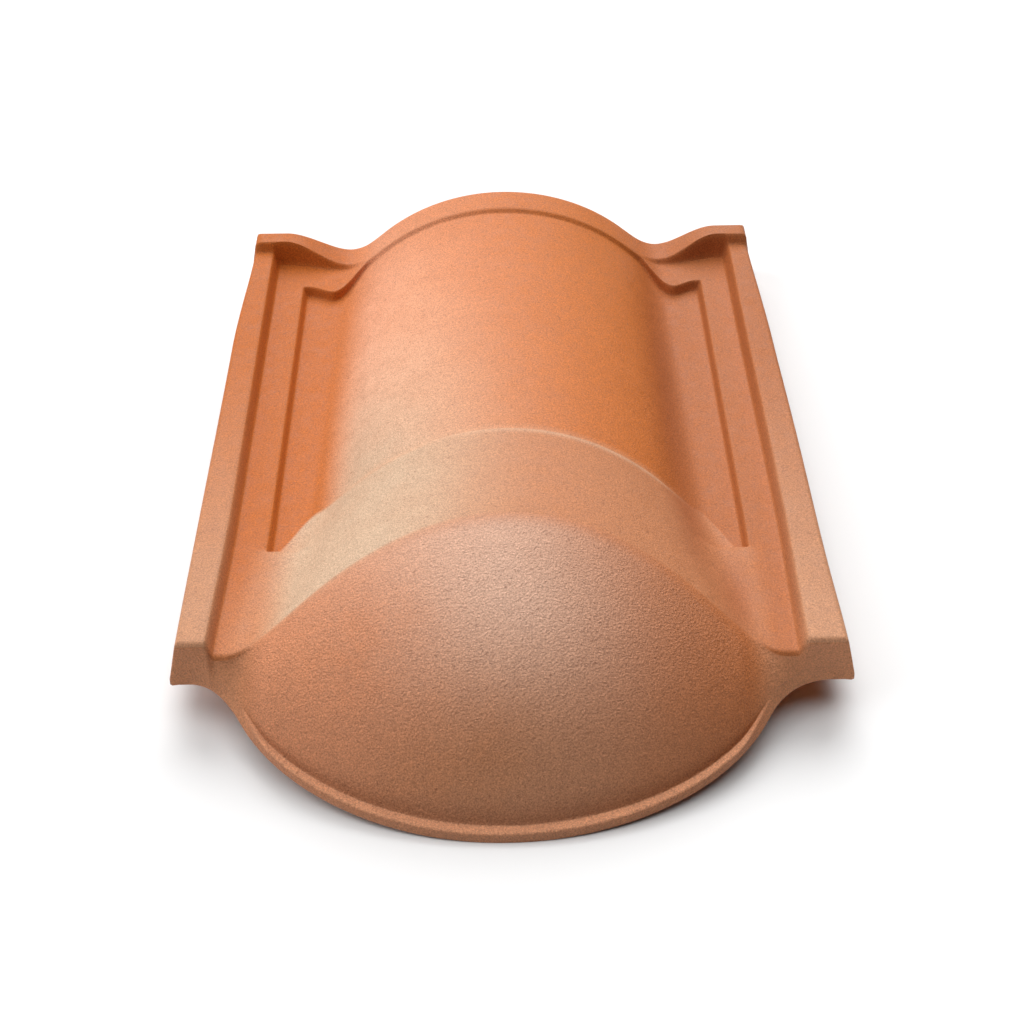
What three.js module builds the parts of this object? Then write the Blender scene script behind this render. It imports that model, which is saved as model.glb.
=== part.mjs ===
// Decorative ridge tile: one pressed and fired clay shell with a shallow barrel, two grooved side
// flanges and a bulging front nose. Millimetres, +Z up, nose towards -Y, resting on its underside.
import * as THREE from "three";
import { ParametricGeometry } from "three/addons/geometries/ParametricGeometry.js";
import { mergeGeometries, mergeVertices } from "three/addons/utils/BufferGeometryUtils.js";

// ---- Driving dimensions. The tile is described with its flanges level: x across, y away from the nose,
// z up from the flange underside, and y = 0 at the near ends of the flanges.

const HALF_WIDTH = 150;
const FLANGE_LENGTH = 343;
const WALL = 11; // thickness of the clay shell
const END_LEAN = 1; // how far an upright end face leans back
const EDGE_RADIUS = 2.5; // rounding of the pressed outer edges

const RIB_TOP = 23.5; // top of the outer rib
const RIB_EDGE_X = 145.2; // where the rib's top meets the drafted side face
const SIDE_TAPER = 3.5; // the outer sides draw in this much towards the far end
const SIDE_TAPER_Y = [235, 338];
const SIDE_BOW = 0.8; // and this much more, gently, from the near end on
const SIDE_BOW_Y = [20, 240];
const RIB_WALL = [126.8, 130.6]; // foot and top of the rib's inner wall
const OUTER_CHANNEL = 15.7; // floor of the channel beside the rib
const STEP_WALL = [109.6, 112.4]; // foot and top of the step between the two channels
const INNER_CHANNEL = 10.7; // floor of the channel beside the barrel
const INNER_CHANNEL_NEAR = 73; // it is closed at both ends
const INNER_CHANNEL_FAR = [302.5, 297]; // its far wall, at the step and beside the barrel
const FAR_WALL_TURN_X = [95, 109.6]; // and where it passes from one to the other

const LIP_WALL = [327.6, 330.8]; // foot and top of the wall across the far end of a flange
const LIP_WALL_SWEEP = 7; // that wall comes forward this much where it meets the barrel
const LIP_TOP = 29;
const LIP_VALLEY = 17.2; // where the lip sinks into the barrel
const LIP_SLOPE_X = [86, 123]; // the lip's top curves down between these
const LIP_SWEEP_X = [92, 124]; // and its wall comes forward between these
const LIP_FILLET = 5;

const BARREL_CREST = 52.2;
const BARREL_HALF_WIDTH = [87.5, 82.7]; // at the channel floor, at its near place and at the far end
const BARREL_NEAR = 100;
const BARREL_FILLET = 13; // softness of the foot of the barrel
const COLLAR_HEIGHT = 1.8; // the far band of the barrel stands this much proud
const COLLAR_EDGE = 320; // where that band starts on the crest
const COLLAR_HALF_STEP = 1.5; // half the length of its rounded edge
const COLLAR_TURN_X = [76, 96]; // where that edge leaves the crest's straight line for the flange

const CREASE_CREST = 115; // the nose starts here on the crest
const CREASE_BOW = 8; // the crease comes this much nearer at the bow's place
const CREASE_BOW_X = 78;
const CREASE_TURN_X = [90, 112]; // where it turns into the near end of the inner channel
const CREASE_HALF_STEP = 1.3; // half the length of its rounded edge
const NOSE_CREST = [57.5, 53.5]; // crest height at y = 0 and at the crease
const NOSE_HALF_WIDTH = [112.5, 84.3]; // half width at the nose's floor, at y = 0 and at the crease
const NOSE_FLOOR = 13;
const NOSE_FILLET = 9;
const NOSE_FADE_X = [100, 122]; // the nose gives way to the flange ends between these
const SHOULDER_CREST = 47.5; // where the nose turns over into its front face, on the crest
const SHOULDER_FOOT_X = 119; // and where that turn reaches the flange end
const SHOULDER_SOFTNESS = 4;

const RIM_REACH = 69.5; // how far the nose stands out in front of the flanges
const RIM_HALF_WIDTH = 121;
const RIM_FULLNESS = 0.6;
const OGEE = [114.5, 141]; // the rim curves back into the straight flange end between these
const RIM_DROP = 26; // how far the rim hangs below the flange underside
const RIM_HEIGHT = 5.4; // upright edge of the rim, on the centre line
const RIM_LEAN = 0.4; // how far that edge leans back
const LEDGE_WIDTH = 4.8; // flat ledge on top of that edge
const LEDGE_RISE = 0.2; // and its slope, up to the front face
const FRONT_BULGE = 0.85; // 0 is a flat front face, 1 starts level and rounds down
const FRONT_ARC = 0.93; // share of a quarter circle that the bulge follows
const END_MID = 0.45; // share of a flange end's height where its lower row lies

const FRONT_WALL = { back: 7, down: 9 }; // the hollow's front face, measured from the outer one
const FRONT_WALL_RISE = 3; // slope of that face's continuation behind the shoulder
const FRONT_WALL_FILLET = 6;
const UNDER_NOSE_Y = [80, 120]; // the hollow passes from the nose's arch to the barrel's
const LAND_FILLET = 3; // softness where the hollow meets the flat underside
const CLEAR_BELOW = 46; // a depth below everything, where there is no hollow

// ---- Small helpers

const smoothstep = (value, [from, to]) => THREE.MathUtils.smoothstep(value, from, to);
const mix = THREE.MathUtils.lerp;
const square = (value) => value * value;

// The larger of two heights, with a rounded join wherever they are closer than the softness.
function softMax(a, b, softness) {
  const overlap = Math.max(softness - Math.abs(a - b), 0);
  return Math.max(a, b) + square(overlap) / (4 * softness);
}

// How far a rounded edge has dropped at a distance inside it.
function edgeDrop(distance, radius) {
  if (distance >= radius || radius <= 0) return 0;
  return radius - Math.sqrt(square(radius) - square(radius - Math.max(distance, 0)));
}

// An arch through a crest height, with a half width at a floor height, lowered evenly by an inset.
function archHeight(x, crest, halfWidth, floor, inset = 0) {
  const rise = crest - floor;
  const radius = (square(halfWidth) + square(rise)) / (2 * rise);
  const inner = radius - inset;
  return crest - radius + Math.sqrt(Math.max(square(inner) - square(x), 0));
}

// ---- Lines that the surface follows, each giving y for a place across the tile

// The rim's outline: an ellipse-like arc that swings out into the straight flange end.
function rimLine(x) {
  const across = Math.abs(x);
  const arc = (a) => -RIM_REACH * (1 - square(a / RIM_HALF_WIDTH)) ** RIM_FULLNESS;
  const [start, end] = OGEE;
  const nudge = 0.01;
  if (across >= end) return 0;
  if (across <= start) return arc(across);
  const slope = (arc(start) - arc(start - nudge)) / nudge;
  const t = (across - start) / (end - start);
  return arc(start) * (1 - 3 * t * t + 2 * t ** 3) + slope * (end - start) * (t - 2 * t * t + t ** 3);
}

const rimPlane = (y) => (RIM_DROP / RIM_REACH) * Math.min(y, 0);

// 1 over the nose, 0 over the flange ends.
const noseShare = (x) => 1 - smoothstep(Math.abs(x), NOSE_FADE_X);

const shoulderLine = (x) =>
  softMax(END_LEAN, SHOULDER_CREST * (1 - square(x / SHOULDER_FOOT_X)), SHOULDER_SOFTNESS);

function creaseLine(x) {
  const across = Math.abs(x);
  const arc = CREASE_CREST - CREASE_BOW * square(Math.min(across, CREASE_TURN_X[0]) / CREASE_BOW_X);
  return mix(arc, INNER_CHANNEL_NEAR, smoothstep(across, CREASE_TURN_X));
}

// The collar's front edge runs down the barrel and on across the flange as the inner channel's far wall.
function collarLine(x) {
  const across = Math.abs(x);
  const [atStep, atBarrel] = INNER_CHANNEL_FAR;
  const onFlange = mix(atBarrel, atStep, smoothstep(across, FAR_WALL_TURN_X));
  return mix(COLLAR_EDGE, onFlange, smoothstep(across, COLLAR_TURN_X));
}

const lipSweep = (x) => LIP_WALL_SWEEP * (1 - smoothstep(Math.abs(x), LIP_SWEEP_X));

// ---- Heights of the upper face

function barrelHeight(x, y, inset = 0) {
  const along = (y - BARREL_NEAR) / (FLANGE_LENGTH - BARREL_NEAR);
  const halfWidth = mix(BARREL_HALF_WIDTH[0], BARREL_HALF_WIDTH[1], along);
  return archHeight(x, BARREL_CREST, halfWidth, INNER_CHANNEL, inset);
}

function noseHeight(x, y, inset = 0) {
  const along = y / CREASE_CREST;
  const crest = mix(NOSE_CREST[0], NOSE_CREST[1], along);
  const halfWidth = mix(NOSE_HALF_WIDTH[0], NOSE_HALF_WIDTH[1], along);
  return archHeight(x, crest, halfWidth, NOSE_FLOOR, inset);
}

function floorHeight(x, y) {
  const across = Math.abs(x);
  const middle = (STEP_WALL[0] + STEP_WALL[1]) / 2;
  const outside = Math.max(across - middle, y - collarLine(x), INNER_CHANNEL_NEAR - y);
  const halfWall = (STEP_WALL[1] - STEP_WALL[0]) / 2;
  const step = (OUTER_CHANNEL - INNER_CHANNEL) * smoothstep(outside, [-halfWall, halfWall]);
  return INNER_CHANNEL + step + (RIB_TOP - OUTER_CHANNEL) * smoothstep(across, RIB_WALL);
}

function upperHeight(x, y) {
  const floor = floorHeight(x, y);
  const collar = COLLAR_HEIGHT * smoothstep(y - collarLine(x), [-COLLAR_HALF_STEP, COLLAR_HALF_STEP]);
  const behind = softMax(barrelHeight(x, y, -collar), floor, BARREL_FILLET);
  const lip = mix(LIP_VALLEY, LIP_TOP, smoothstep(Math.abs(x), LIP_SLOPE_X));
  const closed = mix(behind, softMax(behind, lip, LIP_FILLET), smoothstep(y + lipSweep(x), LIP_WALL));
  const nose = softMax(noseHeight(x, y), floor, NOSE_FILLET);
  return mix(closed, nose, smoothstep(creaseLine(x) - y, [-CREASE_HALF_STEP, CREASE_HALF_STEP]));
}

// ---- The front face: from the shoulder (or the flange end's top edge) down to the ledge

function frontFace(x) {
  const share = noseShare(x);
  const foot = rimLine(x);
  const topY = shoulderLine(x);
  const topZ = upperHeight(x, topY) - EDGE_RADIUS * (1 - share);
  const height = mix(END_MID * topZ, RIM_HEIGHT, share);
  const straight = mix(foot, topY, height / Math.max(topZ - rimPlane(foot), 1));
  const edge = { y: mix(straight, foot + RIM_LEAN, share), z: rimPlane(foot) + height };
  const ledge = { y: edge.y + LEDGE_WIDTH * share, z: edge.z + LEDGE_RISE * share };
  return { foot, edge, ledge, top: { y: topY, z: topZ }, bulge: FRONT_BULGE * share };
}

// Height of the front face at a share of the way from its top to the ledge.
function frontHeight(face, t) {
  const drop = (share) => 1 - Math.sqrt(1 - square(FRONT_ARC * share));
  const round = drop(t) / drop(1);
  return mix(face.top.z, face.ledge.z, mix(t, round, face.bulge));
}

// ---- The underside: the same arches set in by the wall, down to flat flanges and the rim's land

function lowerHeight(x, y, face) {
  const underNose = 1 - smoothstep(y, UNDER_NOSE_Y);
  const arch = mix(barrelHeight(x, y, WALL), noseHeight(x, y, WALL), underNose);
  const run = Math.max(face.top.y - face.ledge.y, 1);
  const t = (face.top.y - (y - FRONT_WALL.back)) / run;
  const front = frontHeight(face, THREE.MathUtils.clamp(t, 0, 1)) - FRONT_WALL.down;
  const behindFront = t < 0 ? front - FRONT_WALL_RISE * t * run : front;
  const hollow = t > 1 ? -CLEAR_BELOW : -softMax(-arch, -behindFront, FRONT_WALL_FILLET);
  return softMax(hollow, rimPlane(y), LAND_FILLET);
}

// ---- Where the grid's columns and rows run

// Splits the stretches between stops into the given numbers of equal cells.
function spread(stops, counts) {
  const places = [stops[0]];
  counts.forEach((count, i) => {
    for (let k = 1; k <= count; k++) places.push(mix(stops[i], stops[i + 1], k / count));
  });
  return places;
}

const COLUMN_STOPS = [
  0, CREASE_BOW_X, FAR_WALL_TURN_X[0], ...STEP_WALL, SHOULDER_FOOT_X, ...RIB_WALL,
  RIB_EDGE_X - EDGE_RADIUS, RIB_EDGE_X, HALF_WIDTH,
];
const COLUMN_COUNTS = [8, 4, 2, 2, 1, 1, 2, 1, 2, 1];
const FRONT_CROWDING = 0.9; // below 1, the front's rows crowd a little towards the shoulder
const LEAST_SPACE = 2; // least distance of the first row behind the shoulder
const halfColumns = spread(COLUMN_STOPS, COLUMN_COUNTS);
const columns = [...halfColumns.slice(1).reverse().map((x) => -x), ...halfColumns];
const FRONT_ROWS = 8;
const TOP_ROWS = [1, 4, 1, 7, 1, 1, 2, 1, 2];

// The rows of one column, from the rim's bottom edge to the far end, with the front rows' shares.
function rowsOf(x) {
  const face = frontFace(x);
  const places = [{ y: face.foot, part: "foot" }, { ...face.edge, part: "edge" }];
  for (let k = 0; k <= FRONT_ROWS; k++) {
    const t = 1 - (k / FRONT_ROWS) ** FRONT_CROWDING;
    places.push({ y: mix(face.top.y, face.ledge.y, t), z: frontHeight(face, t), part: "front" });
  }
  const edge = EDGE_RADIUS * (1 - noseShare(x));
  const afterEdge = face.top.y + Math.max(edge, LEAST_SPACE);
  const crease = creaseLine(x);
  const collar = collarLine(x);
  const stops = [
    face.top.y, afterEdge, crease - CREASE_HALF_STEP, crease + CREASE_HALF_STEP, collar - COLLAR_HALF_STEP,
    collar + COLLAR_HALF_STEP, ...LIP_WALL.map((y) => y - lipSweep(x)),
    FLANGE_LENGTH - END_LEAN - EDGE_RADIUS, FLANGE_LENGTH - END_LEAN,
  ];
  const later = spread(stops, TOP_ROWS);
  later.slice(1).forEach((y) => places.push({ y, part: "top" }));
  places.push({ y: FLANGE_LENGTH, part: "foot" });
  return { face, places };
}

const grid = columns.map((x) => ({ x, ...rowsOf(x) }));

// The outer side of a flange draws in towards the far end; everything inside the rib stays put.
function drawnIn(x, y) {
  const share = THREE.MathUtils.clamp((Math.abs(x) - RIB_WALL[1]) / (RIB_EDGE_X - RIB_WALL[1]), 0, 1);
  const inwards = SIDE_TAPER * smoothstep(y, SIDE_TAPER_Y) + SIDE_BOW * smoothstep(y, SIDE_BOW_Y);
  return x - Math.sign(x) * share * inwards;
}

function upperPoint(column, row) {
  const { x, face, places } = grid[column];
  const place = places[row];
  const across = Math.abs(x);
  const placeX = drawnIn(x, place.y);
  if (place.part === "foot" || across >= HALF_WIDTH) {
    return [placeX, place.y, lowerHeight(x, place.y, face)];
  }
  if (place.part !== "top") return [placeX, place.y, place.z];
  const nearRadius = EDGE_RADIUS * (1 - noseShare(x));
  const near = edgeDrop(place.y - face.top.y, nearRadius);
  const far = edgeDrop(FLANGE_LENGTH - END_LEAN - place.y, EDGE_RADIUS);
  const side = edgeDrop(RIB_EDGE_X - across, EDGE_RADIUS);
  return [placeX, place.y, upperHeight(x, place.y) - Math.max(near, far, side)];
}

function lowerPoint(column, row) {
  const { x, face, places } = grid[column];
  const { y } = places[row];
  return [drawnIn(x, y), y, lowerHeight(x, y, face)];
}

const slices = columns.length - 1;
const stacks = grid[0].places.length - 1;
const atGrid = (point, mirror) => (u, v, target) => {
  const column = Math.round((mirror ? 1 - u : u) * slices);
  target.set(...point(column, Math.round(v * stacks)));
};

function shellGeometry() {
  const upper = new ParametricGeometry(atGrid(upperPoint, false), slices, stacks);
  const lower = new ParametricGeometry(atGrid(lowerPoint, true), slices, stacks);
  const shell = mergeGeometries([upper, lower]);
  shell.deleteAttribute("normal");
  shell.deleteAttribute("uv");
  const merged = mergeVertices(shell, 1e-4);
  merged.computeVertexNormals();
  return merged;
}

// ---- The tile, laid on the rim and on the far edges of the flanges

const clay = new THREE.MeshStandardMaterial({ color: 0xc9784f, roughness: 0.85, metalness: 0 });
const tile = new THREE.Mesh(shellGeometry(), clay);
tile.name = "ridge_tile";

const restAngle = Math.atan(RIM_DROP / (FLANGE_LENGTH + RIM_REACH));
const pose = new THREE.Group();
pose.rotation.x = -restAngle;
pose.add(tile);
pose.updateMatrixWorld(true);
const extent = new THREE.Box3().setFromObject(pose, true);
pose.position.set(0, -(extent.min.y + extent.max.y) / 2, -extent.min.z);

const part = new THREE.Group();
part.add(pose);
export default part;
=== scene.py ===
# %% [markdown]
# # A decorative clay ridge tile
# The real tile is one piece of red clay. A press squeezes it between two plaster moulds, and the kiln turns
# it to terracotta. It has a shallow barrel down the middle, a grooved flange on each side, and a nose that
# bulges out over the end of the roof. The drawing in CAD is the faceted frame, and this lesson lays a finer
# skin of clay over it: soft arrises, a little warp from the kiln, sandy grain and the kiln's colours.

# %% Load the frame
import bpy
import numpy as np
from math import radians
from mathutils import Matrix, Vector


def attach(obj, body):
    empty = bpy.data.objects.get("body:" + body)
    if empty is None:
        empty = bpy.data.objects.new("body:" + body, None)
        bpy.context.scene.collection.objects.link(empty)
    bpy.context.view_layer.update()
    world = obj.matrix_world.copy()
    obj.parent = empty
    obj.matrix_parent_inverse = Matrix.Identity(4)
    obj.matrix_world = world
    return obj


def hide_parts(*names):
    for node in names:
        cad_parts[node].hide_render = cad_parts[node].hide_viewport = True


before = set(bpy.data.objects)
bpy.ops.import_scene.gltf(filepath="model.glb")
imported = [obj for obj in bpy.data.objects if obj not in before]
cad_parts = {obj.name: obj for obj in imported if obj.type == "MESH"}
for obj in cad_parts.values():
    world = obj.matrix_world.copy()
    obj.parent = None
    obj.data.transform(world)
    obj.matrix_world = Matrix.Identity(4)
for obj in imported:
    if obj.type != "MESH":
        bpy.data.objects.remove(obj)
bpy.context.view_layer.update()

# %% [markdown]
# ## Camera
# The camera comes first, so that every later step can be looked at. It stands in front of the nose, a little
# under a metre away, and looks down at about 42 degrees. Blender's camera looks along its own -Z, so it is
# first tipped up from straight down, then turned, and a small roll sets the horizon.

# %% Camera
EYE = Vector((-0.0069, -0.6701, 0.6059))
TURN, LOOK_DOWN, ROLL = radians(0.811), radians(42.268), radians(-0.308)
LENS_MM, FILM_MM = 63.16, 36
eye = bpy.data.cameras.new("eye")
eye.lens = LENS_MM
eye.sensor_width = FILM_MM
camera = bpy.data.objects.new("camera", eye)
camera.matrix_world = (Matrix.Translation(EYE) @ Matrix.Rotation(-TURN, 4, "Z")
                       @ Matrix.Rotation(radians(90) - LOOK_DOWN, 4, "X") @ Matrix.Rotation(ROLL, 4, "Z"))
bpy.context.scene.collection.objects.link(camera)
bpy.context.scene.camera = camera
print("the camera stands", round(EYE.length, 3), "m from the tile")

# %% [markdown]
# ## Curves to build with
# The whole tile is drawn as heights over a flat plan, in millimetres, as a pattern maker would cut it. Five
# small curves are enough: an even blend, a soft step, the larger of two heights with a fillet between them,
# a rounded edge, and the arc of a circle. They work on whole arrays at once, so the tile needs no loop over
# its points.

# %% Curves
def mix(a, b, share):
    """Straight blend: a plus share times (b minus a)."""
    return a + (b - a) * share


def smoothstep(value, start, end):
    """Soft step from 0 to 1: t squared times (3 - 2 t), with t the clipped share of the way."""
    t = np.clip((value - start) / (end - start), 0, 1)
    return t * t * (3 - 2 * t)


def soft_max(a, b, softness):
    """The larger of a and b, plus the squared overlap over four softnesses where they are close."""
    overlap = np.maximum(softness - np.abs(a - b), 0)
    return np.maximum(a, b) + overlap ** 2 / (4 * softness)


def edge_drop(inside, radius):
    """Drop of a rounded edge: r minus the root of r squared less the squared distance to the arc's centre."""
    away = np.clip(radius - inside, 0, radius)
    return radius - np.sqrt(np.maximum(radius ** 2 - away ** 2, 0))


def arch_height(x, crest, half_width, floor, inset=0):
    """Circle through the crest and half_width at the floor: its centre plus root of r squared - x squared."""
    rise = crest - floor
    radius = (half_width ** 2 + rise ** 2) / (2 * rise)
    inner = radius - inset
    return crest - radius + np.sqrt(np.maximum(inner ** 2 - x ** 2, 0))


print("a 2.5 mm edge has dropped", round(float(edge_drop(np.array(1.0), 2.5)), 2), "mm at 1 mm inside it")

# %% [markdown]
# ## Lines across the tile
# Each line says how far along the tile something happens, for any place across it: the rim at the front, the
# shoulder where the nose turns down, the crease behind the nose, and the collar near the far end. Here x
# runs across and y runs away from the nose, with y = 0 at the near ends of the flanges.

# %% Lines
HALF_WIDTH, LENGTH = 150, 343
END_LEAN = 1  # an upright end face leans back this much
RIM_DROP, CAD_RIM_REACH = 26, 69.5
RIM_SLOPE = RIM_DROP / CAD_RIM_REACH
RIM_REACH = 70.4  # 0.9 mm beyond the CAD rim, as much as the arris later takes off its foot
RIM_HALF_WIDTH, RIM_FULLNESS = 121, 0.6
OGEE = (114.5, 141)  # the rim swings out into the straight flange end between these
NOSE_FADE = 100  # the nose starts to give way to the flange end here
SHOULDER, SHOULDER_FOOT, SHOULDER_SOFTNESS = 47.5, 119, 4
CREASE, CREASE_BOW, CREASE_BOW_X = 115, 8, 78
CREASE_TURN = (90, 112)
GROOVE_NEAR = 73
COLLAR, COLLAR_TURN = 320, (76, 96)
GROOVE_FAR, GROOVE_FAR_TURN = (297, 302.5), (95, 109.6)
LIP_SWEEP, LIP_SWEEP_X = 7, (92, 124)


def rim_line(x):
    """Outline of the rim: minus reach times (1 - (x / 121) squared) ** 0.6, eased out to 0 with a cubic."""
    start, end = OGEE
    across = np.abs(x)
    arc = -RIM_REACH * (1 - (np.minimum(across, start) / RIM_HALF_WIDTH) ** 2) ** RIM_FULLNESS
    root = 1 - (start / RIM_HALF_WIDTH) ** 2
    here = -RIM_REACH * root ** RIM_FULLNESS
    slope = RIM_REACH * RIM_FULLNESS * root ** (RIM_FULLNESS - 1) * 2 * start / RIM_HALF_WIDTH ** 2
    t = np.clip((across - start) / (end - start), 0, 1)
    ease = here * (1 - 3 * t ** 2 + 2 * t ** 3) + slope * (end - start) * (t - 2 * t ** 2 + t ** 3)
    return np.where(across <= start, arc, ease)


def rim_plane(y):
    """The rim's land slopes down from the flanges to RIM_DROP at the front."""
    return RIM_SLOPE * np.minimum(y, 0)


def nose_share(x):
    """1 over the nose, 0 over the flange ends."""
    return 1 - smoothstep(np.abs(x), NOSE_FADE, SHOULDER_FOOT + 3)


def shoulder_line(x):
    """A parabola, SHOULDER times (1 - (x / 119) squared), kept 1 mm behind the flange ends."""
    return soft_max(END_LEAN, SHOULDER * (1 - (x / SHOULDER_FOOT) ** 2), SHOULDER_SOFTNESS)


def crease_line(x):
    """A shallow parabola over the barrel that blends into the near end of the inner groove."""
    across = np.abs(x)
    arc = CREASE - CREASE_BOW * (np.minimum(across, CREASE_TURN[0]) / CREASE_BOW_X) ** 2
    return mix(arc, GROOVE_NEAR, smoothstep(across, *CREASE_TURN))


def collar_line(x):
    """Straight over the barrel's crest, then down its side and on across the flange as the groove's far wall."""
    across = np.abs(x)
    on_flange = mix(*GROOVE_FAR, smoothstep(across, *GROOVE_FAR_TURN))
    return mix(COLLAR, on_flange, smoothstep(across, *COLLAR_TURN))


def lip_sweep(x):
    """The lip's wall comes 7 mm forward where it meets the barrel."""
    return LIP_SWEEP * (1 - smoothstep(np.abs(x), *LIP_SWEEP_X))


print("the rim reaches", round(float(-rim_line(np.array(0.0))), 1), "mm in front of the flanges")

# %% [markdown]
# ## The upper face
# The pressed face is a few simple heights laid over each other: the barrel, the nose, the stepped floors of
# the flange, and the lip across the far end. A soft maximum joins them with the fillets that a plaster mould
# leaves, because wet clay would tear on a sharp inner corner.

# %% Upper face
RIB_TOP, GROOVE, CHANNEL = 23.5, 10.7, 15.7
STEP_X, STEP_HALF = 111, 1.4  # middle and half width of the step between groove and channel
RIB_WALL = (126.8, 130.6)
BARREL_CREST, BARREL_HALF_WIDTH, BARREL_NEAR, BARREL_FILLET = 52.2, (87.5, 82.7), 100, 13
NOSE_CREST, NOSE_HALF_WIDTH, NOSE_FLOOR, NOSE_FILLET = (57.5, 53.5), (112.5, 84.3), 13, 9
COLLAR_HEIGHT, COLLAR_HALF_STEP = 1.8, 1.5
CREASE_HALF_STEP = 1.3
LIP_VALLEY, LIP_TOP, LIP_SLOPE_X = 17.2, 29, (86, 123)
LIP_WALL, LIP_FILLET = (327.6, 330.8), 5


def barrel_height(x, y, inset=0):
    """Arch with its crest at 52.2 mm, 87.5 mm half wide at y = 100 and 82.7 mm at the far end."""
    half_width = mix(*BARREL_HALF_WIDTH, (y - BARREL_NEAR) / (LENGTH - BARREL_NEAR))
    return arch_height(x, BARREL_CREST, half_width, GROOVE, inset)


def nose_height(x, y, inset=0):
    """Arch that goes from 57.5 mm high and 112.5 mm half wide at y = 0 to 53.5 and 84.3 mm at the crease."""
    along = y / CREASE
    return arch_height(x, mix(*NOSE_CREST, along), mix(*NOSE_HALF_WIDTH, along), NOSE_FLOOR, inset)


def floor_height(x, y):
    """Stepped flange: the inner groove, a 5 mm step round it, and the outer rib."""
    across = np.abs(x)
    outside = np.maximum(np.maximum(across - STEP_X, y - collar_line(x)), GROOVE_NEAR - y)
    step = (CHANNEL - GROOVE) * smoothstep(outside, -STEP_HALF, STEP_HALF)
    return GROOVE + step + (RIB_TOP - CHANNEL) * smoothstep(across, *RIB_WALL)


def upper_height(x, y):
    """Soft maximum of barrel and floor, then of the lip, blended to the nose across the crease."""
    floor = floor_height(x, y)
    collar = COLLAR_HEIGHT * smoothstep(y - collar_line(x), -COLLAR_HALF_STEP, COLLAR_HALF_STEP)
    behind = soft_max(barrel_height(x, y, -collar), floor, BARREL_FILLET)
    lip = mix(LIP_VALLEY, LIP_TOP, smoothstep(np.abs(x), *LIP_SLOPE_X))
    closed = mix(behind, soft_max(behind, lip, LIP_FILLET), smoothstep(y + lip_sweep(x), *LIP_WALL))
    nose = soft_max(nose_height(x, y), floor, NOSE_FILLET)
    return mix(closed, nose, smoothstep(crease_line(x) - y, -CREASE_HALF_STEP, CREASE_HALF_STEP))


print("the barrel's crest is", round(float(upper_height(np.array(0.0), np.array(200.0))), 1), "mm high")

# %% [markdown]
# ## The front face and the underside
# The nose turns down in front over a bulging face, and ends in a narrow ledge and an upright rim. The hollow
# underneath follows the same arches 11 mm further in, which keeps the wall of the shell even, as clay has to
# be if it is to dry and fire without cracking. The front's hollow is the front face moved back and down, which
# also leaves about 11 mm of clay, measured square to the surface.

# %% Front face and underside
EDGE = 2.5  # rounding of the pressed outer edges
RIM_HEIGHT, RIM_LEAN, LEDGE_WIDTH = 5.4, 0.4, 4.8
LEDGE_RISE = (1.2, 0.2)  # at the flange ends and over the nose
END_ROW, END_LEDGE = 0.45, 0.05  # on the flange ends the rim shrinks to a row at this share of the height
BULGE, ARC_REACH = 0.85, 0.93
SIDE_TOP = 145.2  # the rib's top meets the drafted side face here
WALL, FRONT_BACK, FRONT_DOWN = 11, 7, 9
UNDER_NOSE = (80, 120)  # the hollow passes from the nose's arch to the barrel's between these
FRONT_RISE, HOLLOW_FILLET, LAND_FILLET = 3, 6, 3
BELOW_ALL = -46.0  # a height under everything, where there is no hollow


def front_face(x):
    """Corners of the front at each x: the foot, the rim's top edge, the ledge's inner corner and the shoulder."""
    share = nose_share(x)
    foot, top_y = rim_line(x), shoulder_line(x)
    top_z = upper_height(x, top_y) - EDGE * (1 - share)
    height = mix(END_ROW * top_z, RIM_HEIGHT, share)
    straight = mix(foot, top_y, height / np.maximum(top_z - rim_plane(foot), 1))
    edge_y, edge_z = mix(straight, foot + RIM_LEAN, share), rim_plane(foot) + height
    ledge_y = edge_y + LEDGE_WIDTH * share + END_LEDGE * (1 - share)
    ledge_z = edge_z + mix(*LEDGE_RISE, share)
    return dict(share=share, foot=foot, edge_y=edge_y, edge_z=edge_z, ledge_y=ledge_y, ledge_z=ledge_z,
                top_y=top_y, top_z=top_z)


def front_height(face, t):
    """From the shoulder (t = 0) to the ledge (t = 1): a straight line blended with the quarter of an ellipse."""
    arc = (1 - np.sqrt(1 - (ARC_REACH * t) ** 2)) / (1 - np.sqrt(1 - ARC_REACH ** 2))
    return mix(face["top_z"], face["ledge_z"], mix(t, arc, BULGE * face["share"]))


def lower_height(x, y, face):
    """The arches and the front face set in by the wall, cut off below by the flat flanges and the rim's land."""
    under_nose = 1 - smoothstep(y, *UNDER_NOSE)
    arch = mix(barrel_height(x, y, WALL), nose_height(x, y, WALL), under_nose)
    run = np.maximum(face["top_y"] - face["ledge_y"], 1)
    t = (face["top_y"] - (y - FRONT_BACK)) / run
    front = front_height(face, np.clip(t, 0, 1)) - FRONT_DOWN
    front = np.where(t < 0, front - FRONT_RISE * t * run, front)
    hollow = np.where(t > 1, BELOW_ALL, -soft_max(-arch, -front, HOLLOW_FILLET))
    return soft_max(hollow, rim_plane(y), LAND_FILLET)


middle = front_face(np.array(0.0))
print("the front face drops", round(float(middle["top_z"] - middle["ledge_z"]), 1), "mm")

# %% [markdown]
# ## One grid for the whole skin
# The skin is a sheet of columns across and rows along. Straight, even rows would cut across the curved lines
# in steps, so each row is laid along them instead: it keeps its share of the way between two lines. Rows and
# columns crowd together at the walls and arrises, where the clay turns fast.

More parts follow.
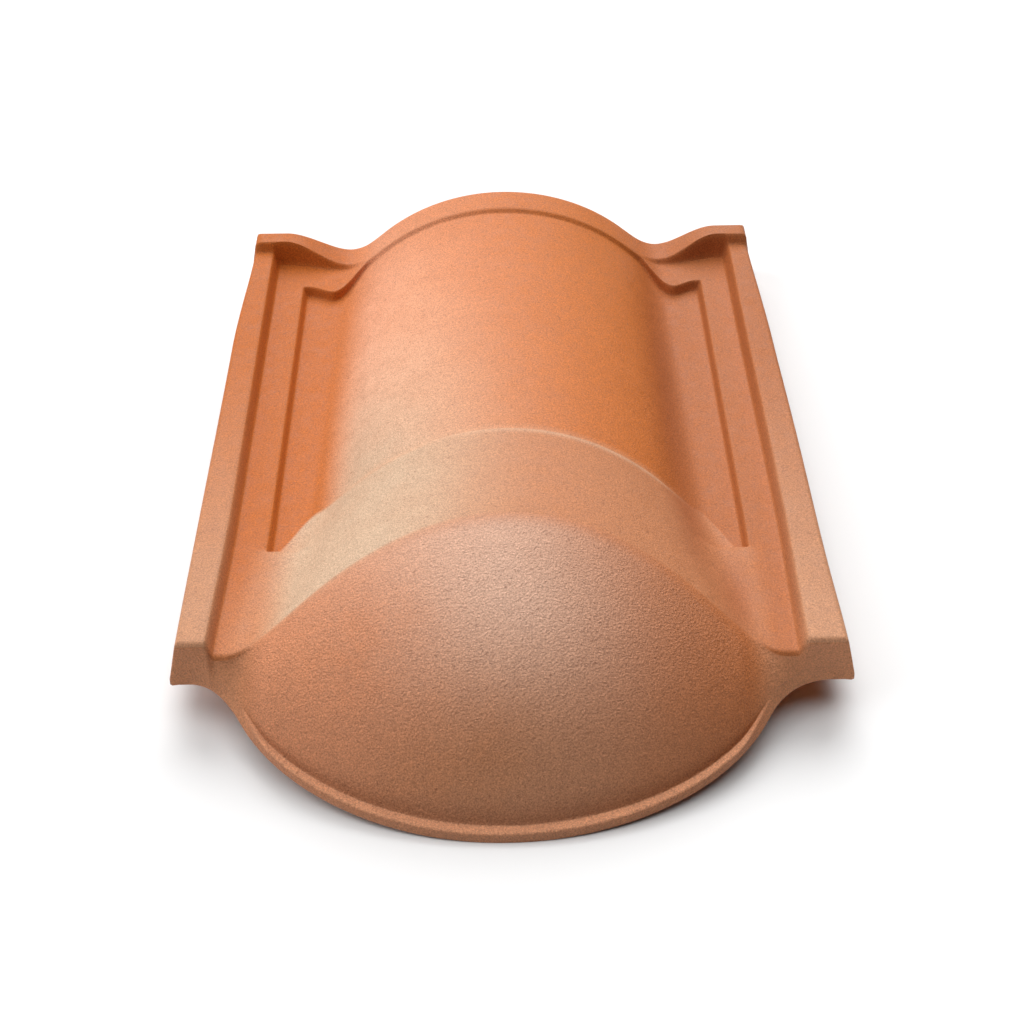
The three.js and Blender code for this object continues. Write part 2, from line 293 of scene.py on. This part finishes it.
# %% Columns and rows
COLUMN_STOPS = [0, 78, 95, 109.6, 112.4, 119, 126.8, 130.6, 142.7, SIDE_TOP, HALF_WIDTH]
COLUMN_COUNTS = [38, 10, 9, 5, 5, 6, 7, 6, 5, 6]
ROW_COUNTS = [26, 8, 50, 8, 6, 8, 6]
FRONT_ROWS, FRONT_CROWDING = 56, 1.4  # above 1, the front's rows crowd towards the shoulder
SHOULDER_BAND = 14  # rows stay close together for this far behind the shoulder
STEP_MARGIN = 2  # rows also crowd this far to each side of the crease and of the collar's edge
FAR_EDGE = LENGTH - END_LEAN


def between(stops, counts):
    """Equal steps between each two stops: start plus (k / count) times the gap, for k from 1 to count."""
    return [mix(a, b, np.arange(1, n + 1) / n) for a, b, n in zip(stops[:-1], stops[1:], counts)]


half = np.concatenate([[0], *between(COLUMN_STOPS, COLUMN_COUNTS)])
x = np.concatenate([-half[:0:-1], half])[:, None]
face = front_face(x)
share = face["share"]
along_front = 1 - (np.arange(FRONT_ROWS + 1) / FRONT_ROWS) ** FRONT_CROWDING
rounding = 1 - np.cos(np.linspace(0, np.pi / 2, 7)[1:])
even = np.linspace(0, 1, 7)[1:]
row_stops = [face["top_y"] + mix(EDGE, SHOULDER_BAND, share), crease_line(x) - STEP_MARGIN,
             crease_line(x) + STEP_MARGIN, collar_line(x) - STEP_MARGIN, collar_line(x) + STEP_MARGIN,
             327 - lip_sweep(x), 331.4 - lip_sweep(x), FAR_EDGE - EDGE]
behind_shoulder = face["top_y"] + mix(EDGE * rounding, SHOULDER_BAND * even, share)
over_far_edge = FAR_EDGE - EDGE + EDGE * np.sin(np.linspace(0, np.pi / 2, 6)[1:])
top_rows = np.concatenate([behind_shoulder, *between(row_stops, ROW_COUNTS),
                           np.tile(over_far_edge, (len(x), 1))], axis=1)
print(len(x), "columns,", top_rows.shape[1], "rows on top")

# %% [markdown]
# ## The upper sheet
# The rows now get their places and heights, in five groups from the front to the back: up the rim's wall, over
# the ledge, up the front face, along the top, and down the far end. Each group could be a piece of its own, but
# one sheet has no seams to hide. The group's number is kept for each row, because later steps treat a rim, a
# top and an end differently. Every outer edge is then rounded off by the largest of its three drops.

# %% Upper sheet
RIM_WALL, LEDGE, FRONT, TOP, END = range(5)
WALL_STEPS = np.array([0, 0.15, 0.5, 1.0, 2.2, 3.4, 4.4])  # heights up the rim's wall
LIP_EDGE = 5  # the outer corners of the lip are rounder than the rib's
foot_z = rim_plane(face["foot"])
rim_rise = face["edge_z"] - foot_z
wall_high = mix(WALL_STEPS / WALL_STEPS[-1] * rim_rise, WALL_STEPS, share)
wall_y, wall_z = mix(face["foot"], face["edge_y"], wall_high / rim_rise), foot_z + wall_high
out = np.linspace(0, 1, 8)[:-1]
ledge_y, ledge_z = mix(face["edge_y"], face["ledge_y"], out), mix(face["edge_z"], face["ledge_z"], out)
front_y, front_z = mix(face["top_y"], face["ledge_y"], along_front), front_height(face, along_front)

near = edge_drop(top_rows - face["top_y"], EDGE * (1 - share) + 1e-6)
far = edge_drop(FAR_EDGE - top_rows, EDGE)
side = edge_drop(SIDE_TOP - np.abs(x), mix(EDGE, LIP_EDGE, smoothstep(top_rows, 322, 334)))
top_z = upper_height(x, top_rows) - np.maximum(np.maximum(near, far), side)

drop = np.array([0.25, 0.5, 0.75, 0.95, 0.985, 1])
end_y = np.tile(mix(FAR_EDGE, LENGTH, drop), (len(x), 1))
end_foot = np.maximum(lower_height(x, np.full_like(x, LENGTH), face), 0)
end_z = mix(top_z[:, -1:], end_foot, drop)

y = np.concatenate([wall_y, ledge_y, front_y, top_rows, end_y], axis=1)
z = np.concatenate([wall_z, ledge_z, front_z, top_z, end_z], axis=1)
row_kind = np.repeat(np.arange(5), [part.shape[1] for part in (wall_y, ledge_y, front_y, top_rows, end_y)])
x = x + 0 * y
plain_x, plain_y = x.copy(), y.copy()
print("the sheet has", x.size, "points")

# %% [markdown]
# ## Sides and rounded corners
# Fired clay has no razor edges. The side faces are drafted so that the tile leaves its mould, and every
# outer corner is rounded: a small arris along the bottom, and a wider one on the lip. A bevel modifier would
# round the inner corners as well, so the sheet's own points are moved along the arc of a circle.

# %% Sides and rounded corners
ARRIS = 0.9
NEAR_CORNER, FAR_CORNER = 0.6, 1.5
down = np.clip((np.abs(x) - SIDE_TOP) / (HALF_WIDTH - SIDE_TOP), 0, 1)
base = np.where(row_kind == END, end_foot, rim_plane(y))
z = mix(z, base, down)
y = np.where(row_kind <= FRONT, mix(y, face["foot"], down),
             np.where(row_kind == END, mix(y, LENGTH, down), y))
high = z - base
side_high = np.maximum(high[np.argmin(np.abs(plain_x[:, 0] - SIDE_TOP))], 1)
on_top = np.flatnonzero(row_kind == TOP)
side_high[:on_top[0]], side_high[on_top[-1] + 1:] = side_high[on_top[0]], side_high[on_top[-1]]
to_side = SIDE_TOP - np.abs(x) + (HALF_WIDTH - SIDE_TOP) * np.clip(1 - high / side_high, 0, 1)
y = y + edge_drop(to_side, NEAR_CORNER) * (1 - smoothstep(y - face["top_y"], 0, 6))
y = y - edge_drop(to_side, FAR_CORNER) * smoothstep(plain_y, LENGTH - 14, LENGTH - 2)
arris = edge_drop(high, ARRIS)
y = y + np.where(row_kind <= FRONT, arris, 0) - np.where(row_kind == END, arris, 0)
x = x - np.sign(x) * np.where(down > 0, arris, 0)
print("the side faces are up to", round(float(side_high.max()), 1), "mm high")

# %% [markdown]
# ## Soft transitions
# The ledge and the shoulder are rubbed soft when the potter sponges the damp tile. A brush in sculpt mode would
# do it by hand, and a few passes of averaging along the rows do the same in numbers, only where a weight says.

# %% Soft transitions
SHOULDER_BLUR = 18  # half the width of the sponged band along the shoulder
RIM_ROWS_KEPT, FRONT_ROWS_SPONGED = 3, 10


def relax(grid, weight, passes):
    """Moves each point a share of the way to the (1, 2, 1) average of its row neighbours, some times over."""
    for _ in range(passes):
        average = (grid[:, :-2] + 2 * grid[:, 1:-1] + grid[:, 2:]) / 4
        grid[:, 1:-1] = mix(grid[:, 1:-1], average, weight[:, 1:-1])
    return grid


ledge_rows = (row_kind == LEDGE) | ((row_kind == RIM_WALL) & (np.arange(row_kind.size) > RIM_ROWS_KEPT))
ledge_rows = ledge_rows | ((row_kind == FRONT) & (np.cumsum(row_kind == FRONT) < FRONT_ROWS_SPONGED))
soft_ledge = share * ledge_rows
y, z = relax(y, soft_ledge, 2), relax(z, soft_ledge, 2)
fade = 1 - np.minimum((x / 122) ** 2, 1)
at_shoulder = np.exp(-((plain_y - face["top_y"]) / SHOULDER_BLUR) ** 2) * share * fade
at_shoulder = np.where((row_kind == FRONT) | (row_kind == TOP), at_shoulder, 0)
z = relax(z, at_shoulder, 30)
print(int(ledge_rows.sum()), "rows are sponged at the ledge, and", 2 * SHOULDER_BLUR, "mm at the shoulder")

# %% [markdown]
# ## The lower sheet
# The hollow is a second sheet with the same columns and rows, so that the two share their border points and the
# shell closes with no gap. The upper sheet's rows are bunched on the rim and the sides, where the underside is
# plain, so the lower sheet spreads its outermost rows and columns evenly again. Solidify could make the hollow
# from the upper sheet, but it would copy the grooves and the ribs to the flat underside.

# %% Lower sheet
EDGE_ROWS, EDGE_COLUMNS = 14, 9
low_x, low_y = plain_x.copy(), plain_y.copy()
k = np.linspace(0, 1, EDGE_ROWS)
low_y[:, :EDGE_ROWS] = mix(y[:, :1], y[:, EDGE_ROWS - 1:EDGE_ROWS], k)
low_y[:, -EDGE_ROWS:] = mix(y[:, -1:], plain_y[:, -EDGE_ROWS:1 - EDGE_ROWS], k[::-1])
k = np.linspace(0, 1, EDGE_COLUMNS)[:, None]
low_x[:EDGE_COLUMNS] = mix(x[:1], plain_x[EDGE_COLUMNS - 1:EDGE_COLUMNS], k)
low_x[-EDGE_COLUMNS:] = mix(x[-1:], plain_x[-EDGE_COLUMNS:1 - EDGE_COLUMNS], k[::-1])
low_z = lower_height(low_x, low_y, face)
for border in (np.s_[:, 0], np.s_[:, -1], np.s_[0, :], np.s_[-1, :]):
    low_x[border], low_y[border] = x[border], y[border]
    low_z[border] = rim_plane(y[border])
low_z[:, -1] = z[:, -1]
z[:, 0] = np.maximum(lower_height(x[:, :1], y[:, :1], face)[:, 0], rim_plane(y[:, 0]))
low_z[:, 0] = z[:, 0]
z[0], z[-1] = low_z[0], low_z[-1]
print("the hollow is", round(float(low_z.max()), 1), "mm deep")

# %% [markdown]
# ## Draw-in and kiln warp
# The flanges are a little narrower at the far end, so that one tile slips over the next. Wet clay also sags on
# its rack and moves in the fire, so no two tiles are alike: this one's nose leans, its right side droops near
# the front, and its far end has lifted. A lattice modifier could bend the mesh, but here each sag is one soft
# bump that can be read in millimetres. Both sheets are bent alike, which keeps the wall as thick as it was.

# %% Draw-in and warp
SIDE_TAPER, SIDE_BOW = 3.5, 0.8
NOSE_LEAN, NEAR_DROOP = -3.0, -3.0
FAR_LIFT, RIGHT_LIFT, FAR_SHIFT = 1.0, 1.6, 1.3
FLANK_OUT, FLANK_IN = 1.6, 1.0


def draw_in(x, y):
    """The flange's outer side moves in by up to 4.3 mm towards the far end, and the rib's inside stays."""
    outer = np.clip((np.abs(x) - RIB_WALL[1]) / (SIDE_TOP - RIB_WALL[1]), 0, 1)
    return x - np.sign(x) * outer * (SIDE_TAPER * smoothstep(y, 235, 338) + SIDE_BOW * smoothstep(y, 20, 240))


def warp(x, y, z):
    """Small sags from drying and firing: the nose leans left, the right side droops near and lifts far."""
    lean = NOSE_LEAN * (1 - smoothstep(y, -20, 95)) * (1 - smoothstep(np.abs(x), 118, 150))
    droop = NEAR_DROOP * smoothstep(x, 20, 150) * (1 - smoothstep(y, -10, 180))
    high = np.clip(z / 20, 0, 1) * smoothstep(y, 150, LENGTH)
    lift = high * (FAR_LIFT + RIGHT_LIFT * smoothstep(x, 0, 140))
    bow = FLANK_OUT * np.exp(-(y / 45) ** 2) - FLANK_IN * np.exp(-((y - 250) / 60) ** 2)
    flank = smoothstep(x, 118, 146) * bow
    shift = FAR_SHIFT * high * (1 - smoothstep(np.abs(x), 90, 120))
    return x + lean + flank + shift, y, z + droop + lift


flat_x, flat_y = x, y
upper = np.stack(warp(draw_in(x, y), y, z), axis=-1)
lower = np.stack(warp(draw_in(low_x, low_y), low_y, low_z), axis=-1)
print("the upper face moves by up to", round(float(np.abs(upper[..., 2] - z).max()), 1), "mm up or down")

# %% [markdown]
# ## Laying the tile down
# The tile rests on its rim and on the far edges of its flanges, so the level drawing is tipped by 3.6 degrees
# and moved until its box stands centred on the origin, in metres. The place goes into the mesh, and the
# object itself stays at the origin.

# %% Mesh
TILT = np.arctan2(RIM_DROP, LENGTH + CAD_RIM_REACH)
SHIFT_Y, SHIFT_Z = -136.957, 21.577  # the same shift as the CAD tile's
SHARP_ANGLE = radians(50)


def lay_down(points):
    """Turns level millimetres about X by the tilt, shifts them to the frame's origin, and scales to metres."""
    px, py, pz = points[..., 0], points[..., 1], points[..., 2]
    ty = py * np.cos(TILT) + pz * np.sin(TILT) + SHIFT_Y
    tz = pz * np.cos(TILT) - py * np.sin(TILT) + SHIFT_Z
    return np.stack([px, ty, tz], axis=-1) / 1000


def sheet_faces(numbers):
    """Quads between neighbouring columns and rows, wound so that the upper sheet faces up."""
    a, b, c, d = numbers[:-1, :-1], numbers[1:, :-1], numbers[1:, 1:], numbers[:-1, 1:]
    return np.stack([a, b, c, d], axis=-1).reshape(-1, 4)


columns, rows = x.shape
upper_ids = np.arange(x.size).reshape(columns, rows)
lower_ids = upper_ids.copy()
lower_ids[1:-1, 1:-1] = x.size + np.arange((columns - 2) * (rows - 2)).reshape(columns - 2, rows - 2)
points = np.concatenate([lay_down(upper).reshape(-1, 3), lay_down(lower)[1:-1, 1:-1].reshape(-1, 3)])
quads = np.concatenate([sheet_faces(upper_ids), sheet_faces(lower_ids)[:, ::-1]])
mesh = bpy.data.meshes.new("ridge_tile_skin")
mesh.from_pydata(points.tolist(), [], quads.tolist())
mesh.update()
mesh.shade_smooth()
mesh.set_sharp_from_angle(angle=SHARP_ANGLE)
tile = bpy.data.objects.new("ridge_tile_skin", mesh)
bpy.context.scene.collection.objects.link(tile)
print("the skin has", 2 * len(quads), "triangles")

# %% [markdown]
# ## Where the kiln coloured the clay, and where light and shade are painted
# Terracotta is never one colour. Where the flame and the draught reached it, the face turned straw, and where
# the tiles were stacked close it stayed brown. Other patches are painted light and shade: a pale painted sheen
# on the barrel's left flank, a pale painted highlight on the front face, and darker painted shade along the
# barrel's right foot, in the crevice over the ledge and on the right side. Each patch is a soft mask over the
# plan of the tile, kept as an attribute of the points, because a patch follows the tile's own shape and not a
# noise pattern. All of its numbers are millimetres on that plan. The pressed mask is no colour: it says where
# the orange peel is.

# %% Patches
def patch(centre_x, centre_y, wide, long):
    """A soft patch: e to the minus ((x - cx) / wide) squared minus ((y - cy) / long) squared."""
    return np.exp(-((flat_x - centre_x) / wide) ** 2 - ((flat_y - centre_y) / long) ** 2)


across = np.abs(flat_x)
front = smoothstep(face["top_y"] - flat_y, -7, 9) * share * (row_kind <= FRONT)
end_face = smoothstep(across, 104, 118) * (row_kind <= FRONT)
on_barrel = 1 - smoothstep(across, 70, 93)
behind_crease = smoothstep(flat_y - crease_line(flat_x), -2, 2)
on_nose = (1 - behind_crease) * (1 - front) * (1 - smoothstep(across, 108, 122)) * smoothstep(flat_y, -5, 15)
run = np.clip((face["top_y"] - flat_y) / np.maximum(face["top_y"] - face["ledge_y"], 1), 0, 1)
masks = {
    "gold": patch(79, 228, 120, 200) * on_barrel * behind_crease,
    # painted sheen: the barrel's left flank, which faces the left softbox, made paler and pinker
    "painted_left_sheen": patch(-75, 184, 53, 190) * on_barrel * behind_crease,
    "tan": on_nose + 0.7 * np.exp(-((across - 119) / 12) ** 2 - ((flat_y - 8) / 45) ** 2) * (row_kind == TOP),
    "straw": on_nose * (1 - smoothstep(flat_x, -64, 24)) * (1 - smoothstep(across, 92, 114))
             + patch(-76, 92, 60, 110) * on_barrel * behind_crease,
    # painted shade: darker along the right foot of the barrel and on the right groove's wall near the front
    "painted_valley_shade": patch(86, 190, 9, 120) * smoothstep(flat_y, 20, 60) + 0.5 * patch(104, 36, 10, 34) * (1 - front),
    "fired": front,
    # painted highlight: a pale greyish patch where the overhead softbox's highlight falls on the front face
    "painted_front_highlight": patch(-22, 0, 62, 66) * front,
    "brown": patch(-29, -51, 86, 27) * front,
    "rosy": patch(-88, -15, 93, 68) * front,
    # painted shade: darker at the foot of the front face, in the hollow corner over the ledge
    "painted_crevice_shade": 0.4 * smoothstep(run, 0.94, 1.0) * front,
    # painted shade: the right side made darker, away from the left softbox
    "shade": smoothstep(flat_x, 60, 110) * (1 - front) * (1 - end_face) * (1 - on_nose),
    "tips": smoothstep(across, 126, 131) * (1 - smoothstep(flat_y, -5, 250)) * (1 - end_face),
    "ends": end_face,
    "ledge": share * np.where(row_kind == LEDGE, 1, np.where(row_kind == RIM_WALL, 0.4, 0)),
    "crease": 0.8 * np.exp(-((flat_y - crease_line(flat_x) + 0.6) / 2.4) ** 2) * (1 - smoothstep(across, 66, 90)),
    "pressed": front + 0.6 * end_face,
}
for name, mask in masks.items():
    values = np.zeros(len(points), np.float32)
    values[:mask.size] = np.clip(mask, 0, 1).ravel()
    mesh.attributes.new(name, "FLOAT", "POINT").data.foreach_set("value", values)
print("the patches are", ", ".join(masks))

# %% [markdown]
# ## Terracotta
# The finish is bare red earthenware, pressed and fired to about 1000 degrees. It is porous, so it scatters
# light and has no clear reflection: a high roughness, no metal, a dielectric IOR of 1.5, and a specular level
# below the usual 0.5, because the pores swallow much of the gloss. The colours are sRGB codes, as a paint chart
# gives them, and the shader wants linear light, so one function turns them. A second one adds a node with its
# settings and links, which keeps each layer of the clay to a line or two.

# %% Colours
CLAY_RED, IRON_BROWN, PAPER_WHITE = "#bc6523", "#7a4a30", "#f2f2f2"
# Five colours are painted light and shade: a pale painted sheen on the barrel's left flank, a pale painted
# highlight on the front face, and darker painted shade along the barrel's right foot, in the crevice over the
# ledge and on the right side.
PATCH_COLOURS = {
    "gold": "#ce7535", "painted_left_sheen": "#efaa87", "tan": "#c17e54", "straw": "#caaa8d", "painted_valley_shade": "#9c4f25",
    "fired": "#b3693a", "painted_front_highlight": "#e4c6b1", "brown": "#a9744f", "rosy": "#ce875f", "painted_crevice_shade": "#8a5232",
    "shade": "#af6637", "tips": "#c18a66", "ends": "#c3835b", "ledge": "#d4936c", "crease": "#d0a281",
}
MIX_A, MIX_B, MIX_OUT = 6, 7, 2  # the Mix node's colour sockets, by number


def linear(code):
    """sRGB hex to linear: c / 12.92 below 0.04045, else ((c + 0.055) / 1.055) ** 2.4."""
    c = np.array([int(code[i:i + 2], 16) for i in (1, 3, 5)]) / 255
    return (*np.where(c < 0.04045, c / 12.92, ((c + 0.055) / 1.055) ** 2.4), 1.0)


clay = bpy.data.materials.new("terracotta_pressed_and_fired")
clay.use_nodes = True
nodes, links = clay.node_tree.nodes, clay.node_tree.links
shader = nodes["Principled BSDF"]


def add(kind, settings, inputs):
    """Adds one node, sets its settings, and gives each input a value or a link."""
    made = nodes.new(kind)
    for name, value in settings.items():
        setattr(made, name, value)
    for name, value in inputs.items():
        if isinstance(value, bpy.types.NodeSocket):
            links.new(value, made.inputs[name])
        else:
            made.inputs[name].default_value = value
    return made


place = add("ShaderNodeTexCoord", {}, {}).outputs["Object"]
print("the clay's ground colour in linear light is", np.round(linear(CLAY_RED)[:3], 3))

# %% [markdown]
# ## Kiln colours and painted light
# The clay starts as its red ground colour, and each patch is laid over the one before, as glazes of thin slip
# would be; the painted sheen, highlight and shade go on in the same way. A painted image could hold the patches,
# but it would need an unwrapped mesh. A slow cloud of noise, about as wide as a thumb, makes each patch a little
# stronger here and weaker there, so that no edge looks drawn.

# %% Kiln colours and painted light
CLOUD_MM = 28
cloud = add("ShaderNodeTexNoise", {}, {"Vector": place, "Scale": 1000 / CLOUD_MM, "Detail": 4, "Roughness": 0.6})
drift = add("ShaderNodeMath", {"operation": "MULTIPLY_ADD"}, {0: cloud.outputs["Fac"], 1: 0.5, 2: 0.75})
colour = linear(CLAY_RED)
for name, code in PATCH_COLOURS.items():
    mask = add("ShaderNodeAttribute", {"attribute_name": name}, {}).outputs["Fac"]
    amount = add("ShaderNodeMath", {"operation": "MULTIPLY", "use_clamp": True}, {0: mask, 1: drift.outputs[0]})
    mixed = add("ShaderNodeMix", {"data_type": "RGBA"}, {0: amount.outputs[0], MIX_A: colour, MIX_B: linear(code)})
    colour = mixed.outputs[MIX_OUT]
print("the colour passes through", len(PATCH_COLOURS), "patches")

# %% [markdown]
# ## Grit
# The clay is full of fine sand, mostly 0.1 to 0.5 mm. That is too fine to show from a metre away, so it is
# drawn coarser, at 0.7 mm, and the few dark grains of iron and burnt sand at 1.4 mm. The sand lightens and
# darkens the clay, a slower mottle of 7 mm shows how evenly the press filled the mould, and the dark grains
# come where a third noise peaks.

# %% Grit
GRIT_MM, MOTTLE_MM, GRAIN_MM = 0.7, 7, 1.4  # the first and the last are coarser than real, so that they show
grit = add("ShaderNodeTexNoise", {}, {"Vector": place, "Scale": 1000 / GRIT_MM, "Detail": 2, "Roughness": 0.6})
tone = add("ShaderNodeMapRange", {}, {"Value": grit.outputs["Fac"], "From Min": 0.25, "From Max": 0.75,
                                      "To Min": 0.62, "To Max": 1.34})
mottle = add("ShaderNodeTexNoise", {}, {"Vector": place, "Scale": 1000 / MOTTLE_MM, "Detail": 3,
                                         "Roughness": 0.65})
patchy = add("ShaderNodeMapRange", {}, {"Value": mottle.outputs["Fac"], "From Min": 0.3, "From Max": 0.7,
                                        "To Min": 0.955, "To Max": 1.04})
both = add("ShaderNodeMath", {"operation": "MULTIPLY"}, {0: tone.outputs[0], 1: patchy.outputs[0]})
sanded = add("ShaderNodeVectorMath", {"operation": "SCALE"}, {0: colour, "Scale": both.outputs[0]})
grains = add("ShaderNodeTexNoise", {}, {"Vector": place, "Scale": 1000 / GRAIN_MM, "Detail": 1})
peaks = add("ShaderNodeMapRange", {}, {"Value": grains.outputs["Fac"], "From Min": 0.66, "From Max": 0.72,
                                       "To Max": 0.45})
dark = add("ShaderNodeMix", {"data_type": "RGBA"}, {0: peaks.outputs[0], MIX_A: sanded.outputs[0],
                                                    MIX_B: linear(IRON_BROWN)})
links.new(dark.outputs[MIX_OUT], shader.inputs["Base Color"])
print("the grit is", GRIT_MM, "mm across")

# %% [markdown]
# ## Relief
# Where the clay pulled away from the plaster, on the front face and a little on the flange ends, it has a skin
# like orange peel. Elsewhere only the sand stands out. Dimples of a millimetre would take millions of faces, so
# they are a bump in the shader, and the pressed mask says how deep they go. The same mottle that shades the
# clay also makes it duller or smoother, because a spot that pressed less tightly is more porous.

# %% Relief
PEEL_MM = 1.05
BUMP_METRES = 0.0005
pressed = add("ShaderNodeAttribute", {"attribute_name": "pressed"}, {}).outputs["Fac"]
peel = add("ShaderNodeTexNoise", {}, {"Vector": place, "Scale": 1000 / PEEL_MM, "Detail": 2, "Roughness": 0.6})
depth = add("ShaderNodeMapRange", {}, {"Value": pressed, "To Min": 0.3, "To Max": 1.7})
deep = add("ShaderNodeMath", {"operation": "MULTIPLY"}, {0: peel.outputs["Fac"], 1: depth.outputs[0]})
relief = add("ShaderNodeMath", {"operation": "MULTIPLY_ADD"}, {0: grit.outputs["Fac"], 1: 0.5, 2: deep.outputs[0]})
bump = add("ShaderNodeBump", {}, {"Height": relief.outputs[0], "Strength": 0.9, "Distance": BUMP_METRES})
links.new(bump.outputs["Normal"], shader.inputs["Normal"])
dull = add("ShaderNodeMapRange", {}, {"Value": mottle.outputs["Fac"], "From Min": 0.3, "From Max": 0.7,
                                      "To Min": 0.52, "To Max": 0.66})
links.new(dull.outputs[0], shader.inputs["Roughness"])
shader.inputs["Specular IOR Level"].default_value = 0.3
mesh.materials.append(clay)
print("the material has", len(nodes), "nodes")

# %% [markdown]
# ## The studio
# The tile lies on a sweep of white paper under three softboxes: one overhead, one to the left and a strong one
# behind, which draws the soft shadow forward. An area lamp would light the near end more than the far one, so
# each softbox is a sun lamp with a wide disc, which is even all along the tile. The world is white only where
# the camera sees it directly. Elsewhere it gives a faint glow, because a full white sky would wash the
# shadows out.

# %% Stage
FLOOR_HALF = 6
SKY_GLOW, SKY_SEEN = 0.02, 1.0
SOFTBOX_DISC = radians(50)
scene = bpy.context.scene
corners = [(-FLOOR_HALF, -FLOOR_HALF, 0), (FLOOR_HALF, -FLOOR_HALF, 0),
           (FLOOR_HALF, FLOOR_HALF, 0), (-FLOOR_HALF, FLOOR_HALF, 0)]
floor_mesh = bpy.data.meshes.new("floor")
floor_mesh.from_pydata(corners, [], [(0, 1, 2, 3)])
floor = bpy.data.objects.new("floor", floor_mesh)
scene.collection.objects.link(floor)
paper = bpy.data.materials.new("white_paper_sweep")
paper.use_nodes = True
paper.node_tree.nodes["Principled BSDF"].inputs["Base Color"].default_value = linear(PAPER_WHITE)
paper.node_tree.nodes["Principled BSDF"].inputs["Roughness"].default_value = 0.9
floor_mesh.materials.append(paper)

world = bpy.data.worlds.new("studio")
world.use_nodes = True
backdrop = world.node_tree.nodes["Background"]
backdrop.inputs["Color"].default_value = (1, 1, 1, 1)
seen = world.node_tree.nodes.new("ShaderNodeLightPath")
glow = world.node_tree.nodes.new("ShaderNodeMapRange")
glow.inputs["To Min"].default_value, glow.inputs["To Max"].default_value = SKY_GLOW, SKY_SEEN
world.node_tree.links.new(seen.outputs["Is Camera Ray"], glow.inputs["Value"])
world.node_tree.links.new(glow.outputs[0], backdrop.inputs["Strength"])
scene.world = world


def soft_light(name, direction, strength):
    """A sun lamp with a wide disc stands for a softbox: direction points from the tile towards the light."""
    lamp = bpy.data.lights.new(name, "SUN")
    lamp.energy = strength
    lamp.angle = SOFTBOX_DISC
    light = bpy.data.objects.new(name, lamp)
    light.rotation_euler = Vector(direction).to_track_quat("Z", "Y").to_euler()
    scene.collection.objects.link(light)


soft_light("overhead_softbox", (0, 0, 1), 1.33)
soft_light("left_softbox", (-1, 0, 0.7), 1.2)
soft_light("back_softbox", (0, 1, 0.9), 2.85)
scene.view_settings.view_transform = "Standard"
print("the floor is", 2 * FLOOR_HALF, "m wide, and each softbox looks 50 degrees wide from the tile")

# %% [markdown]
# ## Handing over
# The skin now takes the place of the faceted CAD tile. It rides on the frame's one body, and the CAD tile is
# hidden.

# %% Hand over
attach(tile, "root")
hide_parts("ridge_tile")
